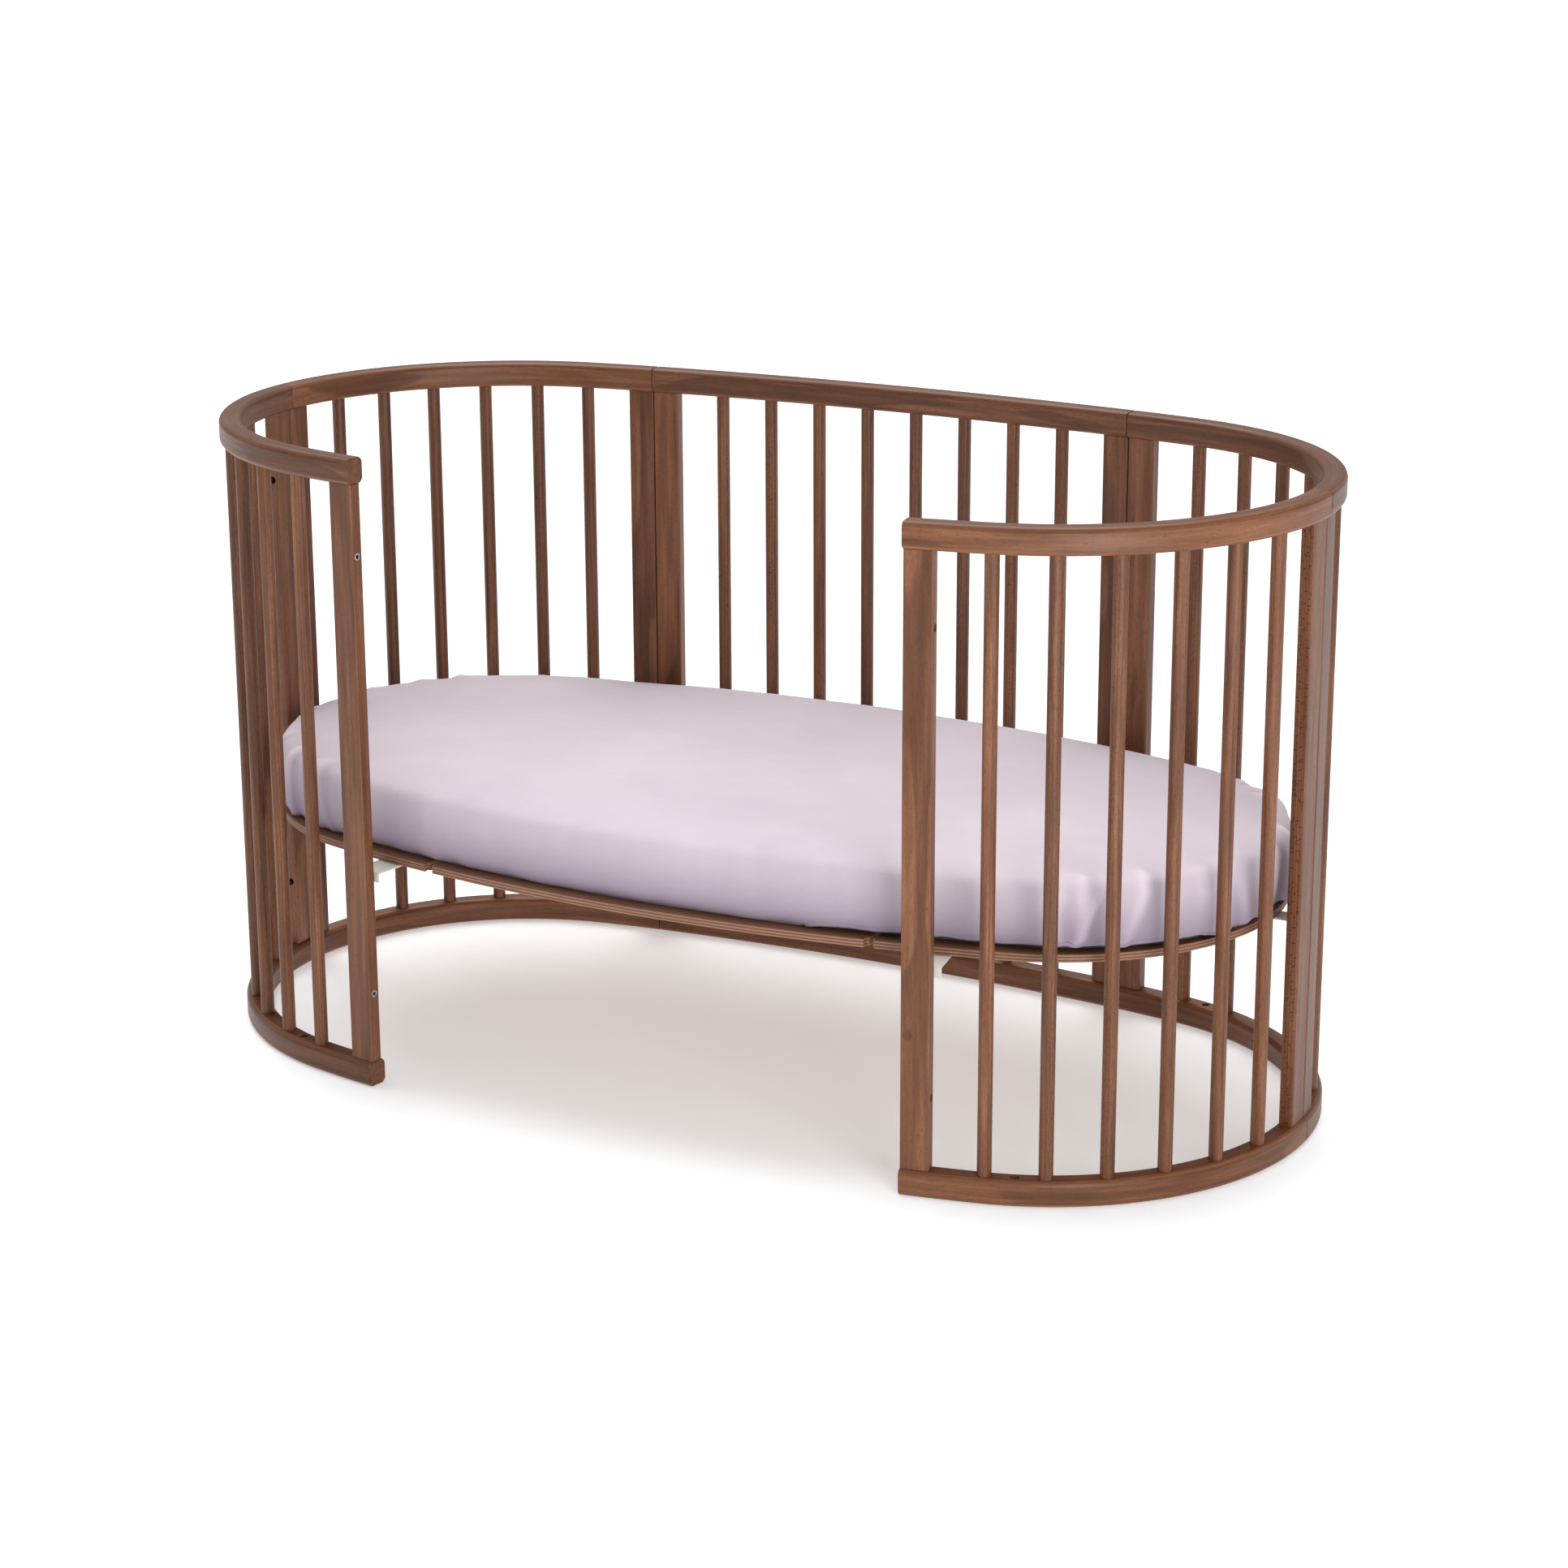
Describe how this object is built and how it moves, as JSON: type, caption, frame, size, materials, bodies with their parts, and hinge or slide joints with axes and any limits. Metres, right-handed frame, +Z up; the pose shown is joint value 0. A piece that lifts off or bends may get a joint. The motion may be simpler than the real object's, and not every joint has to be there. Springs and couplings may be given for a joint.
{
  "type": "baby crib",
  "caption": "Oval wooden baby crib with round bars, its front side open for access, with a raised plywood base, an oval mattress and a fitted sheet.",
  "frame": {"origin": "on the floor, below the centre of the whole crib's outline", "axes": "+X along the crib, -Y towards the open side, +Z up"},
  "size_m": [1.3688, 0.6862, 0.746],
  "materials": {
    "stained_beech": "beech stained mid brown under a satin clear lacquer",
    "stained_plywood": "birch plywood stained mid brown, with its plies showing on the edge",
    "mattress_cover": "navy woven mattress cover",
    "cotton_sheet": "pale lilac cotton jersey, matt"
  },
  "bodies": {
    "frame": {"front_left_top_rail": "stained_beech", "front_left_bottom_rail": "stained_beech", "front_left_post_1": "stained_beech", "front_left_post_2": "stained_beech", "front_left_bar_1": "stained_beech", "front_left_bar_2": "stained_beech", "front_left_bar_3": "stained_beech", "front_left_bar_4": "stained_beech", "front_left_bar_5": "stained_beech", "front_left_bar_6": "stained_beech", "back_left_top_rail": "stained_beech", "back_left_bottom_rail": "stained_beech", "back_left_post_1": "stained_beech", "back_left_post_2": "stained_beech", "back_left_bar_1": "stained_beech", "back_left_bar_2": "stained_beech", "back_left_bar_3": "stained_beech", "back_left_bar_4": "stained_beech", "back_left_bar_5": "stained_beech", "back_left_bar_6": "stained_beech", "back_middle_top_rail": "stained_beech", "back_middle_bottom_rail": "stained_beech", "back_middle_post_1": "stained_beech", "back_middle_post_2": "stained_beech", "back_middle_bar_1": "stained_beech", "back_middle_bar_2": "stained_beech", "back_middle_bar_3": "stained_beech", "back_middle_bar_4": "stained_beech", "back_middle_bar_5": "stained_beech", "back_middle_bar_6": "stained_beech", "back_middle_bar_7": "stained_beech", "back_middle_bar_8": "stained_beech", "back_right_top_rail": "stained_beech", "back_right_bottom_rail": "stained_beech", "back_right_post_1": "stained_beech", "back_right_post_2": "stained_beech", "back_right_bar_1": "stained_beech", "back_right_bar_2": "stained_beech", "back_right_bar_3": "stained_beech", "back_right_bar_4": "stained_beech", "back_right_bar_5": "stained_beech", "back_right_bar_6": "stained_beech", "front_right_top_rail": "stained_beech", "front_right_bottom_rail": "stained_beech", "front_right_post_1": "stained_beech", "front_right_post_2": "stained_beech", "front_right_bar_1": "stained_beech", "front_right_bar_2": "stained_beech", "front_right_bar_3": "stained_beech", "front_right_bar_4": "stained_beech", "front_right_bar_5": "stained_beech", "front_right_bar_6": "stained_beech"},
    "base": {"base_board_left": "stained_plywood", "base_board_centre": "stained_plywood", "base_board_right": "stained_plywood"},
    "mattress": {"mattress": "mattress_cover", "fitted_sheet": "cotton_sheet"}
  },
  "joints": [
    {"name": "base_height", "type": "slide", "parent": "frame", "child": "base", "axis": [0, 0, 1], "range_m": [0, 0.16]},
    {"name": "mattress_lift", "type": "slide", "parent": "base", "child": "mattress", "axis": [0, 0, 1], "range_m": [0, 0.5]}
  ]
}
